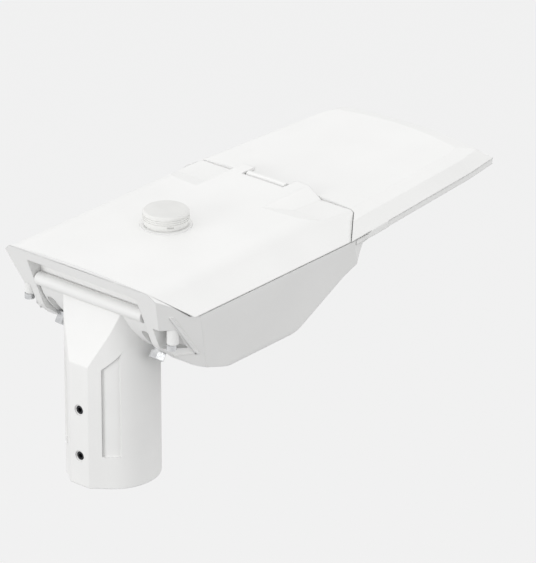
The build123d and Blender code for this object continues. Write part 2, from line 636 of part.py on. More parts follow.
def build_clamp_washers():
    """A plain washer and a spring washer under each clamp bolt's head."""
    washers = []
    for side in (-1, 1):
        for radius, height, start in ((8.0, 1.6, WASHER_SEAT), (6.6, 2.0, WASHER_SEAT + 1.6)):
            x, z = around_pivot(start, BOLT_ANGLE)
            washer = rod((x, side * BOLT_Y, z), outward(BOLT_ANGLE), radius, height)
            washer -= rod((x, side * BOLT_Y, z), outward(BOLT_ANGLE), BOLT_RADIUS + FIT, height)
            washers.append(washer)
    return Compound(children=washers)


def build_hinge_pin():
    """Steel pin through the housing's knuckle and the lid's two cheeks."""
    return rod_y(HINGE_X, HINGE_Z, HINGE_PIN_RADIUS, 34.0)


def build_lid_screws():
    """Two captive screws that hold the lid down from inside the corner pockets."""
    screws = []
    for side in (-1, 1):
        y = side * LID_SCREW_Y
        head_z = LID_SCREW_LOW_Z - LID_SCREW_HEAD
        screw = rod((LID_SCREW_X, y, LID_SCREW_LOW_Z), (0, 0, 1), LID_SCREW_RADIUS, 33)
        screw += rod((LID_SCREW_X, y, head_z), (0, 0, 1), 4.6, LID_SCREW_HEAD)
        screw -= hex_rod((LID_SCREW_X, y, head_z - 0.1), (0, 0, 1), HEX_SOCKET, 3.0)
        screws.append(screw)
    return Compound(children=screws)


def build_lid_gasket():
    """Silicone gasket on the lip round the gear compartment."""
    return lip_ring(LIP_Z, LIP_Z + GASKET_HEIGHT - 0.3)


# Light engine
def board_screw_holes(shape):
    """The shape with clearance holes for the board's screws."""
    for x, y in BOARD_SCREWS:
        shape -= rod((x, y, BOARD_Z - 10), (0, 0, 1), 1.6, 20)
    return shape


def build_led_board():
    """Aluminium-core board screwed to the chamber's ceiling."""
    board = block(*BOARD_X, -BOARD_HALF_WIDTH, BOARD_HALF_WIDTH, BOARD_Z, CHAMBER_CEILING_Z)
    return board_screw_holes(board)


def led_places():
    """Centres of the emitters and of the lenses over them."""
    middle = (BOARD_X[0] + BOARD_X[1]) / 2
    places = []
    for column in range(LED_COLUMNS):
        for row in range(LED_ROWS):
            x = middle + (column - (LED_COLUMNS - 1) / 2) * LENS_PITCH_X
            y = (row - (LED_ROWS - 1) / 2) * LENS_PITCH_Y
            places.append((x, y))
    return places


def build_leds():
    """Square ceramic emitters on the board."""
    half = EMITTER_SIZE / 2
    emitters = [block(x - half, x + half, y - half, y + half, BOARD_Z - EMITTER_HEIGHT, BOARD_Z)
                for x, y in led_places()]
    return Compound(children=emitters)


def build_lens_plate(end):
    """One moulded lens plate: a sheet on the board with a dome under each emitter and a hollow over it."""
    low = BOARD_Z - LENS_SHEET
    middle = (BOARD_X[0] + BOARD_X[1]) / 2
    x_low = middle + 0.5 if end == "front" else BOARD_X[0] + 4
    x_high = BOARD_X[1] - 4 if end == "front" else middle - 0.5
    plate = block(x_low, x_high, 1 - BOARD_HALF_WIDTH, BOARD_HALF_WIDTH - 1, low, BOARD_Z)
    pocket = EMITTER_SIZE / 2 + 0.4
    hollow_z = BOARD_Z - EMITTER_HEIGHT - 0.4
    dome = extrude(RegularPolygon(LENS_RADIUS, LENS_SIDES), amount=-4.0, taper=32)
    for x, y in led_places():
        if x_low < x < x_high:
            plate += Pos(x, y, low) * dome
            plate -= block(x - pocket, x + pocket, y - pocket, y + pocket, hollow_z, BOARD_Z)
    return board_screw_holes(plate)


def build_board_screws():
    """Pan-head screws through the lens plates and the board."""
    low = BOARD_Z - LENS_SHEET
    screws = []
    for x, y in BOARD_SCREWS:
        head = rod((x, y, low - 1.8), (0, 0, 1), 2.8, 1.8)
        screws.append(head + rod((x, y, low), (0, 0, 1), 1.5, 6.5))
    return Compound(children=screws)


def build_glass():
    """Flat tempered glass that closes the chamber from below."""
    outline = framed(GLASS_INSET, CHAMBER_REAR_X - 5)
    return extrude(Plane.XY.offset(GLASS_Z) * outline, amount=GLASS_THICKNESS)


def build_glass_gasket():
    """Silicone frame between the chamber's edge and the glass."""
    outline = framed(GLASS_INSET + 0.4, CHAMBER_REAR_X - 4.6) - framed(CHAMBER_INSET, CHAMBER_REAR_X)
    return extrude(Plane.XY.offset(GLASS_Z + GLASS_THICKNESS) * outline, amount=0.6)


def build_glass_frame():
    """Cast frame that carries the glass; its edge shows as a thin rim under the head."""
    outline = framed(0.8, CHAMBER_REAR_X - 9)
    frame = extrude(Plane.XY.offset(FRAME_BOTTOM_Z) * outline, amount=FRAME_TOP_Z - FRAME_BOTTOM_Z)
    seat = framed(GLASS_INSET - 0.2, CHAMBER_REAR_X - 5.2)
    frame -= extrude(Plane.XY.offset(GLASS_Z) * seat, amount=10)
    window = framed(CHAMBER_INSET, CHAMBER_REAR_X)
    frame -= extrude(Plane.XY.offset(FRAME_BOTTOM_Z - 1) * window, amount=10)
    for x, y in frame_screw_places():
        frame -= rod((x, y, FRAME_BOTTOM_Z - 1), (0, 0, 1), 1.8, 10)
        frame -= rod((x, y, FRAME_BOTTOM_Z - 1), (0, 0, 1), 3.4, 3.2)
    return frame


def build_frame_screws():
    """Pan-head screws that hold the glass frame up."""
    screws = []
    for x, y in frame_screw_places():
        screw = rod((x, y, FRAME_BOTTOM_Z + 0.2), (0, 0, 1), 3.0, 2.0)
        screw += rod((x, y, FRAME_BOTTOM_Z + 2.2), (0, 0, 1), 1.5, 8.6)
        screws.append(screw)
    return Compound(children=screws)


# Gear
def build_gear_tray():
    """Folded steel tray that carries the driver and the connections."""
    rear, front = TRAY_X
    tray = block(rear, front, -TRAY_HALF_WIDTH, TRAY_HALF_WIDTH, TRAY_Z, TRAY_Z + TRAY_SHEET)
    for x in (rear, front - TRAY_SHEET):
        tray += block(x, x + TRAY_SHEET, -TRAY_HALF_WIDTH, TRAY_HALF_WIDTH, TRAY_Z, TRAY_Z + TRAY_FLANGE)
    for x, y in TRAY_BOSSES:
        tray -= rod((x, y, TRAY_Z - 1), (0, 0, 1), 2.3, 4)
    return tray


def build_tray_screws():
    """Pan-head screws of the gear tray."""
    screws = []
    for x, y in TRAY_BOSSES:
        low = TRAY_Z + TRAY_SHEET
        screws.append(rod((x, y, low), (0, 0, 1), 3.8, 2.4) + rod((x, y, low - 8), (0, 0, 1), 2.0, 8))
    return Compound(children=screws)


def build_driver():
    """LED driver: a closed case with a mounting ear at each end."""
    low = TRAY_Z + TRAY_SHEET
    case = block(*DRIVER_X, *DRIVER_Y, low, low + DRIVER_HEIGHT)
    case = fillet(case.edges().filter_by(Axis.Z), CASE_CORNER)
    ear_y = (DRIVER_Y[0] - DRIVER_EAR_REACH, DRIVER_Y[1] + DRIVER_EAR_REACH)
    return case + block(*DRIVER_EAR_X, *ear_y, low, low + DRIVER_EAR_SHEET)


def build_surge_protector():
    """Potted surge protector beside the driver."""
    low = TRAY_Z + TRAY_SHEET
    case = block(*SURGE_X, *CONNECTION_Y, low, low + SURGE_HEIGHT)
    return fillet(case.edges().filter_by(Axis.Z), CASE_CORNER)


def build_terminal_block():
    """Three-pole terminal block with wire entries and screw wells."""
    low = TRAY_Z + TRAY_SHEET
    terminal = block(*TERMINAL_X, *CONNECTION_Y, low, low + TERMINAL_HEIGHT)
    for pole in range(TERMINAL_POLES):
        y = TERMINAL_FIRST_Y + TERMINAL_PITCH * pole
        terminal -= rod_x(y, low + 6, 2.4, 113, 124)
        terminal -= rod((121, y, low + 11), (0, 0, 1), 2.6, 10)
    return terminal


def lead(points, bend):
    """One insulated lead along straight runs joined by arcs."""
    path = FilletPolyline(*points, radius=bend)
    section = Plane(origin=path @ 0, z_dir=path % 0) * RegularPolygon(LEAD_RADIUS, 6)
    return sweep(section, path=path)


def build_board_leads():
    """Two leads from the driver's front end, through the wall of the head, up to the board."""
    leads = []
    for side in (-1, 1):
        points = [(134, side * 6, 124), (144, side * 6, 124), (228, side * 3, 184),
                  (242, side * 1.6, LEAD_DOOR_Z),
                  (BOARD_X[0] + 1.6, side * 1.6, LEAD_DOOR_Z),
                  (BOARD_X[0] + 1.6, side * 1.6, BOARD_Z)]
        leads.append(lead(points, LEAD_BEND))
    return Compound(children=leads)


def build_supply_leads():
    """Two leads from the terminal block over to the driver's end."""
    height = TRAY_Z + TRAY_SHEET + 8
    length = CONNECTION_Y[0] - DRIVER_Y[1]
    leads = []
    for x in SUPPLY_LEAD_X:
        leads.append(rod((x, CONNECTION_Y[0], height), (0, -1, 0), LEAD_RADIUS, length))
    return Compound(children=leads)


def build_cable_gland():
    """Cable gland in the drum wall: thread, hexagon, dome nut and bore."""
    x, z = around_pivot(DRUM_RADIUS - 11, GLAND_ANGLE)
    gland = rod((x, 0, z), outward(GLAND_ANGLE), GLAND_THREAD_RADIUS, 11)
    x, z = around_pivot(GLAND_SEAT, GLAND_ANGLE)
    gland += hex_rod((x, 0, z), outward(GLAND_ANGLE), GLAND_FLATS, GLAND_HEX_HEIGHT)
    x, z = around_pivot(GLAND_SEAT + GLAND_HEX_HEIGHT, GLAND_ANGLE)
    dome = Cone(GLAND_DOME_RADIUS, GLAND_MOUTH_RADIUS, GLAND_DOME_HEIGHT,
                align=(Align.CENTER, Align.CENTER, Align.MIN))
    gland += Plane(origin=(x, 0, z), z_dir=outward(GLAND_ANGLE)) * dome
    x, z = around_pivot(DRUM_RADIUS - 12, GLAND_ANGLE)
    return gland - rod((x, 0, z), outward(GLAND_ANGLE), GLAND_BORE_RADIUS, 40)


def build_gland_nut():
    """Lock nut of the cable gland, inside the compartment."""
    x, z = around_pivot(GLAND_NUT_SEAT - GLAND_NUT_HEIGHT, GLAND_ANGLE)
    nut = hex_rod((x, 0, z), outward(GLAND_ANGLE), GLAND_FLATS, GLAND_NUT_HEIGHT)
    return nut - rod((x, 0, z), outward(GLAND_ANGLE), GLAND_THREAD_RADIUS + FIT, 10)


# Control socket on the lid
def lid_top_z():
    """Height of the flat pad on the lid's crown that the socket sits on."""
    return TOP_Z + CROWN + SOCKET_PAD_HEIGHT


def build_socket():
    """Twist-lock receptacle through the lid: flange, neck and contact well."""
    top = lid_top_z() + FOAM_HEIGHT
    socket = rod((SOCKET_X, 0, top), (0, 0, 1), SOCKET_RADIUS, SOCKET_FLANGE)
    socket += rod((SOCKET_X, 0, top), (0, 0, 1), SOCKET_NECK_RADIUS, SOCKET_NECK_HEIGHT)
    low = top - SOCKET_BODY_DEPTH
    socket += rod((SOCKET_X, 0, low), (0, 0, 1), SOCKET_BODY_RADIUS, SOCKET_BODY_DEPTH + 1)
    return socket - rod((SOCKET_X, 0, top - SOCKET_WELL_DEPTH), (0, 0, 1), SOCKET_WELL_RADIUS, 20)


def build_socket_gasket():
    """Foam ring under the receptacle's flange."""
    top = lid_top_z()
    ring = rod((SOCKET_X, 0, top), (0, 0, 1), FOAM_RADIUS, FOAM_HEIGHT)
    return ring - rod((SOCKET_X, 0, top - 1), (0, 0, 1), SOCKET_BODY_RADIUS + 0.2, 4)


def build_socket_nut():
    """Lock nut of the receptacle, under the lid."""
    low = TOP_Z - 1 - SOCKET_NUT_HEIGHT
    nut = hex_rod((SOCKET_X, 0, low), (0, 0, 1), SOCKET_NUT_FLATS, SOCKET_NUT_HEIGHT)
    return nut - rod((SOCKET_X, 0, low - 1), (0, 0, 1), SOCKET_BODY_RADIUS + FIT, 10)


def build_cap():
    """Protective cap that closes the receptacle: bevelled top, fine grip grooves and a thumb notch."""
    low = lid_top_z() + CAP_LIFT
    cap = rod((SOCKET_X, 0, low), (0, 0, 1), CAP_RADIUS, CAP_HEIGHT)
    cap = chamfer(cap.edges().group_by(Axis.Z)[-1], CAP_BEVEL)
    for groove in range(CAP_GROOVES):
        height = low + 3.0 + CAP_GROOVE_PITCH * groove
        ring = rod((SOCKET_X, 0, height), (0, 0, 1), CAP_RADIUS + 2, CAP_GROOVE_WIDTH)
        cap -= ring - rod((SOCKET_X, 0, low), (0, 0, 1), CAP_RADIUS - 0.5, 20)
    notch = block(SOCKET_X - 3, SOCKET_X + 3, -CAP_RADIUS - 2, 1.6 - CAP_RADIUS, low - 1, low + 2.4)
    cap -= notch.rotate(Axis((SOCKET_X, 0, 0), (0, 0, 1)), -38)
    return cap - rod((SOCKET_X, 0, low - 1), (0, 0, 1), CAP_BORE_RADIUS, CAP_BORE_DEPTH + 1)


def build_cap_seal():
    """Sealing ring inside the cap."""
    low = lid_top_z() + CAP_LIFT
    ring = rod((SOCKET_X, 0, low + 3.4), (0, 0, 1), 16.7, 1.4)
    return ring - rod((SOCKET_X, 0, low), (0, 0, 1), 12.6, 10)


def export_all():
    """Build every piece and write one file for each."""
    pieces = {
        "spigot": build_spigot(),
        "pole_set_screws": build_set_screws(),
        "housing": build_housing(),
        "clamp_bolts": build_clamp_bolts(),
        "clamp_washers": build_clamp_washers(),
        "hinge_pin": build_hinge_pin(),
        "lid_screws": build_lid_screws(),
        "lid_gasket": build_lid_gasket(),
        "led_board": build_led_board(),
        "led_emitters": build_leds(),
        "lens_plate_rear": build_lens_plate("rear"),
        "lens_plate_front": build_lens_plate("front"),
        "board_screws": build_board_screws(),
        "glass_cover": build_glass(),
        "glass_gasket": build_glass_gasket(),
        "glass_frame": build_glass_frame(),
        "frame_screws": build_frame_screws(),
        "gear_tray": build_gear_tray(),
        "tray_screws": build_tray_screws(),
        "driver": build_driver(),
        "surge_protector": build_surge_protector(),
        "terminal_block": build_terminal_block(),
        "supply_leads": build_supply_leads(),
        "board_leads": build_board_leads(),
        "cable_gland": build_cable_gland(),
        "gland_nut": build_gland_nut(),
        "lid": build_lid(),
        "socket": build_socket(),
        "socket_gasket": build_socket_gasket(),
        "socket_nut": build_socket_nut(),
        "cap": build_cap(),
        "cap_seal": build_cap_seal(),
    }
    os.makedirs("parts", exist_ok=True)
    for name, shape in pieces.items():
        export_step(shape, f"parts/{name}.step")


export_all()
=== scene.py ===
"""Looks of a post-top LED street light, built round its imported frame."""
import logging
import math
from dataclasses import dataclass, field
from enum import Enum

import bmesh
import bpy
from mathutils import Matrix, Vector


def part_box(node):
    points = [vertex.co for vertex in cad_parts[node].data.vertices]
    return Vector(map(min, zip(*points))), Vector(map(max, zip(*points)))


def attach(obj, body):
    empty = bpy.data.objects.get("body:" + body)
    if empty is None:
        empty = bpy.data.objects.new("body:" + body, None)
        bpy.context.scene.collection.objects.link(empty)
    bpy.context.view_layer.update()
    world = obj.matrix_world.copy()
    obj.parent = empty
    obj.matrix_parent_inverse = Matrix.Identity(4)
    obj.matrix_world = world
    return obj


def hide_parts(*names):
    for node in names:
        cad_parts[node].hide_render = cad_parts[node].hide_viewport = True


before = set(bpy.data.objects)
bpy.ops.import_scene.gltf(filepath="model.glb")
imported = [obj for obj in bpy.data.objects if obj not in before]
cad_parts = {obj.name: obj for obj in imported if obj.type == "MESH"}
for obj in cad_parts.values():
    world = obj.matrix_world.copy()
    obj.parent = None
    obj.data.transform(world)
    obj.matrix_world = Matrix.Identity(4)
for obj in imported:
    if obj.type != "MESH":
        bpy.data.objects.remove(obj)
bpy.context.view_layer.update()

LOG = logging.getLogger("street_light")
MM = 0.001
SIDES = (-1, 1)
UPRIGHT = Vector((0.0, 0.0, 1.0))
HEXAGON = 6
ROUND_STEPS = 24
BEVEL_SEGMENTS = 2
SHARP_ANGLE = 35.0
MERGE_DISTANCE = 1e-7

# The spread of a finish's patches, and how finely its patterns are worked out.
PATCH_START = 0.35
PATCH_END = 0.65
PATCH_DETAIL = 2.0
GRAIN_DETAIL = 3.0
EDGE_SAMPLES = 6

# The axis that the head tilts about, in metres, as the frame has it.
PIVOT_X = 0.043
PIVOT_Z = 0.193


class Node(str, Enum):
    """Shader node types used by the finishes and the studio."""

    COORDINATES = "ShaderNodeTexCoord"
    NOISE = "ShaderNodeTexNoise"
    MAPPING = "ShaderNodeMapping"
    RAMP = "ShaderNodeValToRGB"
    BUMP = "ShaderNodeBump"
    BEVEL = "ShaderNodeBevel"
    MATHS = "ShaderNodeMath"
    MIX_SHADER = "ShaderNodeMixShader"
    EMISSION = "ShaderNodeEmission"
    LIGHT_PATH = "ShaderNodeLightPath"
    DIFFUSE = "ShaderNodeBsdfDiffuse"


def linear(code: str) -> tuple[float, float, float, float]:
    """Turn an sRGB hex colour into the linear colour that a shader takes.

    The bare numbers are those of the sRGB curve.

    Args:
        code: Six hex digits.

    Returns:
        Red, green, blue and an alpha of one.
    """
    channels = [int(code[place:place + 2], 16) / 255 for place in (0, 2, 4)]
    red, green, blue = [c / 12.92 if c <= 0.04045 else ((c + 0.055) / 1.055) ** 2.4 for c in channels]
    return red, green, blue, 1.0


def connect(owner: bpy.types.Material | bpy.types.World, node: bpy.types.Node,
            feeds: dict[str | int, object]) -> None:
    """Link or set the input sockets of a node.

    Args:
        owner: The material or world that holds the node.
        node: The node.
        feeds: Socket name or number, to an output socket or a plain value.
    """
    for socket, feed in feeds.items():
        if isinstance(feed, bpy.types.NodeSocket):
            owner.node_tree.links.new(feed, node.inputs[socket])
        else:
            node.inputs[socket].default_value = feed


def add_node(material: bpy.types.Material, kind: Node, settings: dict[str, object] | None = None,
             feeds: dict[str | int, object] | None = None) -> bpy.types.Node:
    """Add a shader node with its settings and what feeds it.

    Args:
        material: The material that gets the node.
        kind: The type of node.
        settings: Attributes of the node.
        feeds: Socket name or number, to an output socket or a plain value.

    Returns:
        The new node.
    """
    node = material.node_tree.nodes.new(kind.value)
    for name, value in (settings or {}).items():
        setattr(node, name, value)
    connect(material, node, feeds or {})
    return node


@dataclass(frozen=True)
class Finish:
    """A surface: its colour, its gloss and the fine pattern that the eye finds in it.

    Attributes:
        name: Real material and process.
        colour: sRGB hex of the surface.
        roughness: Spread of the reflection.
        metallic: One for bare metal.
        ior: Index of refraction.
        transmission: How much light passes through.
        grain_mm: Size of the surface's texture.
        grain_depth_mm: Depth of that texture.
        tint: sRGB hex that the colour drifts to in patches.
        patch_mm: Size of those patches.
        fineness: How many times finer the grain runs along X, Y and Z.
        roughness_drift: How much the roughness varies over the patches.
        edge_mm: How far the coat rounds off the casting's edges, or zero.
    """

    name: str
    colour: str
    roughness: float
    metallic: float = 0.0
    ior: float = 1.5
    transmission: float = 0.0
    grain_mm: float = 1.0
    grain_depth_mm: float = 0.02
    tint: str = ""
    patch_mm: float = 60.0
    fineness: tuple[float, float, float] = (1.0, 1.0, 1.0)
    roughness_drift: float = 0.05
    edge_mm: float = 0.0

    def material(self) -> bpy.types.Material:
        """Make the finish's node material, once.

        Returns:
            The material.
        """
        known = bpy.data.materials.get(self.name)
        if known:
            return known
        made = bpy.data.materials.new(self.name)
        made.use_nodes = True
        shader = made.node_tree.nodes["Principled BSDF"]
        connect(made, shader, {
            "Base Color": linear(self.colour),
            "Metallic": self.metallic,
            "IOR": self.ior,
            "Transmission Weight": self.transmission,
        })
        self.paint(made, shader)
        return made

    def paint(self, made: bpy.types.Material, shader: bpy.types.Node) -> None:
        """Link the colour drift, the roughness drift and the grain to the shader.

        Args:
            made: The material.
            shader: Its Principled shader.
        """
        place = add_node(made, Node.COORDINATES).outputs["Object"]
        patches = add_node(made, Node.NOISE, feeds={
            "Vector": place, "Scale": 1 / (self.patch_mm * MM), "Detail": PATCH_DETAIL}).outputs["Fac"]
        drift = add_node(made, Node.RAMP, feeds={"Fac": patches})
        drift.color_ramp.elements[0].position = PATCH_START
        drift.color_ramp.elements[1].position = PATCH_END
        drift.color_ramp.elements[0].color = linear(self.tint or self.colour)
        drift.color_ramp.elements[1].color = linear(self.colour)
        gloss = add_node(made, Node.MATHS, {"operation": "MULTIPLY_ADD"}, {
            0: patches, 1: 2 * self.roughness_drift, 2: self.roughness - self.roughness_drift})
        drawn = add_node(made, Node.MAPPING, feeds={"Vector": place, "Scale": self.fineness})
        grain = add_node(made, Node.NOISE, feeds={
            "Vector": drawn.outputs["Vector"], "Scale": 1 / (self.grain_mm * MM), "Detail": GRAIN_DETAIL})
        bump = add_node(made, Node.BUMP, feeds={
            "Height": grain.outputs["Fac"], "Strength": 1.0, "Distance": self.grain_depth_mm * MM})
        if self.edge_mm:
            rounded = add_node(made, Node.BEVEL, {"samples": EDGE_SAMPLES}, {"Radius": self.edge_mm * MM})
            connect(made, bump, {"Normal": rounded.outputs["Normal"]})
        connect(made, shader, {
            "Base Color": drift.outputs["Color"],
            "Roughness": gloss.outputs["Value"],
            "Normal": bump.outputs["Normal"],
        })


# A sprayed and baked polyester coat on cast aluminium: matt, almost white, with a faint orange peel.
# The peel is finer than a render can show, so it is drawn at 1.4 mm.
POWDER_COAT = Finish("polyester powder coat on cast aluminium", "F3F3F2", 0.42, grain_mm=1.4,
                     grain_depth_mm=0.012, tint="F0F0EF", patch_mm=90.0, edge_mm=1.3)
# The same coat on the spigot, a little rougher where the casting's skin shows through.
SPIGOT_COAT = Finish("polyester powder coat on sand cast aluminium", "F3F3F2", 0.46, grain_mm=1.8,
                     grain_depth_mm=0.02, tint="EFEFEE", patch_mm=70.0, edge_mm=1.3)
# The spigot's coat with crisp edges, for pieces a hair proud of a casting, so no line shows round them.
INFILL_COAT = Finish("polyester powder coat on the spigot's infill", "F3F3F2", 0.46, grain_mm=1.8,
                     grain_depth_mm=0.02, tint="EFEFEE", patch_mm=70.0)
# Bought-in stainless fasteners: bright, with the faint level streaks that a lathe leaves.
STEEL = Finish("turned and pickled stainless steel", "E2E3E4", 0.17, metallic=1.0, grain_mm=0.9,
               grain_depth_mm=0.01, tint="CFD0D2", patch_mm=6.0, fineness=(1.0, 1.0, 3.0))
# Plated sheet: a duller grey than the fasteners, in soft patches.
ZINC = Finish("zinc plated folded steel", "C3C4BF", 0.38, metallic=1.0, grain_mm=5.0,
              grain_depth_mm=0.01, tint="AEB0AA", patch_mm=14.0)
# Gaskets: dark and dull, with almost no shine.
SILICONE = Finish("moulded silicone rubber", "3A3B3D", 0.7, grain_mm=0.8, grain_depth_mm=0.02,
                  tint="333436", patch_mm=20.0)
# The set screws are near black as painted shade. The colour stands for the dark ring of shadow in the gap
# round each screw in the pale pad.
BLACK_OXIDE = Finish("black oxide on alloy steel", "2B2C2E", 0.32, metallic=0.7, grain_mm=0.6,
                     grain_depth_mm=0.01, tint="35363A", patch_mm=3.0)
# A pale ring under the socket, so no dark line shows above the lid.
PALE_SILICONE = Finish("moulded white silicone rubber", "E2E2E0", 0.6, grain_mm=0.8, grain_depth_mm=0.02,
                       tint="DCDCDA", patch_mm=20.0)
# Flat and clear, with the faintest green.
GLASS = Finish("toughened float glass", "F2F7F5", 0.04, ior=1.52, transmission=1.0, grain_mm=60.0,
               grain_depth_mm=0.004, roughness_drift=0.02)
# Clear moulded lenses that bend what lies behind them.
ACRYLIC = Finish("moulded optical acrylic", "FAFBFB", 0.06, ior=1.49, transmission=1.0, grain_mm=20.0,
                 grain_depth_mm=0.004, roughness_drift=0.02)
# A slightly warm white with a low satin shine.
SOLDER_MASK = Finish("white solder mask on an aluminium core board", "EDEDE8", 0.35, grain_mm=2.0,
                     grain_depth_mm=0.01, tint="E6E6E0", patch_mm=25.0)
# The yellow squares of emitters that are switched off.
PHOSPHOR = Finish("phosphor under silicone gel", "F0CF4A", 0.25, ior=1.41, grain_mm=0.5,
                  grain_depth_mm=0.02, tint="E8C238", patch_mm=2.0)
# The driver's case: plain off-white with a fine moulded texture.
WHITE_PLASTIC = Finish("moulded white polycarbonate case", "E9E9E6", 0.4, grain_mm=0.8,
                       grain_depth_mm=0.015, tint="E4E4E0", patch_mm=40.0)
# The surge protector's case, told apart by its colour.
BLUE_PLASTIC = Finish("moulded blue polybutylene case", "2C4A78", 0.42, grain_mm=0.8,
                      grain_depth_mm=0.015, tint="284470", patch_mm=30.0)
# Pale grey and a little waxy, as terminal blocks and nuts are.
POLYAMIDE = Finish("moulded grey polyamide", "C9CAC6", 0.5, grain_mm=0.7, grain_depth_mm=0.02,
                   tint="C2C3BF", patch_mm=15.0)
# The cable gland: nearly black, with a soft shine.
DARK_POLYAMIDE = Finish("moulded black polyamide", "2A2B2D", 0.48, grain_mm=0.7, grain_depth_mm=0.02,
                        tint="252628", patch_mm=15.0)
# Heat-proof leads in a plain brick red.
LEAD_JACKET = Finish("extruded silicone insulation", "C0392F", 0.45, grain_mm=0.5, grain_depth_mm=0.01,
                     tint="B5342B", patch_mm=12.0)
# The cap and its socket: a shade greyer than the coat beside them.
CAP_PLASTIC = Finish("moulded pale polycarbonate", "E4E4E2", 0.4, grain_mm=0.9, grain_depth_mm=0.012,
                     tint="E0E0DE", patch_mm=20.0)


def transfer(shape: bmesh.types.BMesh, name: str, finish: Finish, body: str,
             stands_for: tuple[str, ...] = ()) -> bpy.types.Object:
    """Turn a finished shape into a piece that rides on a body.

    Args:
        shape: The shape, in metres in the frame, which is freed here.
        name: The piece's name.
        finish: Its surface.
        body: The body that carries it.
        stands_for: CAD nodes that it replaces.

    Returns:
        The piece.
    """
    bmesh.ops.recalc_face_normals(shape, faces=shape.faces)
    mesh = bpy.data.meshes.new(name)
    shape.to_mesh(mesh)
    shape.free()
    mesh.materials.append(finish.material())
    piece = bpy.data.objects.new(name, mesh)
    bpy.context.scene.collection.objects.link(piece)
    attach(piece, body)
    if stands_for:
        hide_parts(*stands_for)
    return piece


def standing(place: Vector, axis: Vector) -> Matrix:
    """Give the move that takes an upright shape at the origin to a place and an axis."""
    return Matrix.Translation(place) @ UPRIGHT.rotation_difference(axis).to_matrix().to_4x4()


def add_prism(shape: bmesh.types.BMesh, outline: list[Vector], along: Vector) -> None:
    """Add a closed prism by extruding an outline.

    Args:
        shape: The shape that grows.
        outline: Corners in order.
        along: From the outline to the far end.
    """
    face = shape.faces.new([shape.verts.new(corner) for corner in outline])
    grown = bmesh.ops.extrude_face_region(shape, geom=[face])["geom"]
    far = [part for part in grown if isinstance(part, bmesh.types.BMVert)]
    bmesh.ops.translate(shape, verts=far, vec=along)


def add_turned(shape: bmesh.types.BMesh, profile: list[tuple[float, float]], place: Vector,
               axis: Vector) -> None:
    """Add a turned solid, closed where its profile meets the axis.

    Args:
        shape: The shape that grows.
        profile: Radius and height of each corner, starting and ending on the axis.
        place: Foot of the axis.
        axis: Direction of the axis.
    """
    turned = bmesh.new()
    corners = [turned.verts.new((radius, 0.0, height)) for radius, height in profile]
    edges = [turned.edges.new(pair) for pair in zip(corners, corners[1:])]
    bmesh.ops.spin(turned, geom=corners + edges, cent=(0.0, 0.0, 0.0), axis=UPRIGHT,
                   angle=math.tau, steps=ROUND_STEPS, use_merge=True)
    bmesh.ops.remove_doubles(turned, verts=turned.verts, dist=MERGE_DISTANCE)
    bmesh.ops.transform(turned, matrix=standing(place, axis), verts=turned.verts)
    carrier = bpy.data.meshes.new("turned")
    turned.to_mesh(carrier)
    turned.free()
    shape.from_mesh(carrier)
    bpy.data.meshes.remove(carrier)


def add_arc_wall(shape: bmesh.types.BMesh, radii: tuple[float, float], heights: tuple[float, float],
                 centre: Vector, start: float, sweep: float, steps: int) -> None:
    """Add a closed wall that follows an arc round an upright axis.

    Args:
        shape: The shape that grows.
        radii: Inner and outer radius.
        heights: Foot and top.
        centre: A point of the axis, at height zero.
        start: Angle where the wall begins, in radians from +X.
        sweep: How far it runs from there.
        steps: Flats along the arc.
    """
    inner, outer = radii
    foot, top = heights
    along = Vector((math.cos(start), math.sin(start), 0.0))
    corners = [shape.verts.new(centre + radius * along + height * UPRIGHT)
               for radius, height in ((inner, foot), (outer, foot), (outer, top), (inner, top))]
    section = shape.faces.new(corners)
    bmesh.ops.spin(shape, geom=corners + list(section.edges) + [section], cent=centre, axis=UPRIGHT,
                   angle=sweep, steps=steps)


def smooth(piece: bpy.types.Object) -> None:
    """Shade a round piece smoothly, with its sharp edges kept."""
    piece.data.shade_smooth()
    piece.data.set_sharp_from_angle(angle=math.radians(SHARP_ANGLE))


@dataclass
class Assembly:
    """A group of carried-over nodes with their finishes, and the pieces that are modelled for it.

    Attributes:
        title: What a maker calls the group.
        finishes: Node name to finish.
    """

    title: str = "assembly"
    finishes: dict[str, Finish] = field(default_factory=dict)

    def dress(self) -> None:
        """Give each node of the group its finish and log it."""
        for name, finish in self.finishes.items():
            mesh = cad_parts[name].data
            mesh.materials.clear()
            mesh.materials.append(finish.material())
            LOG.info("%s: %s in %s", self.title, name, finish.name)

    def model(self) -> list[bpy.types.Object]:
        """Model the group's own pieces; a plain group has none."""
        return []


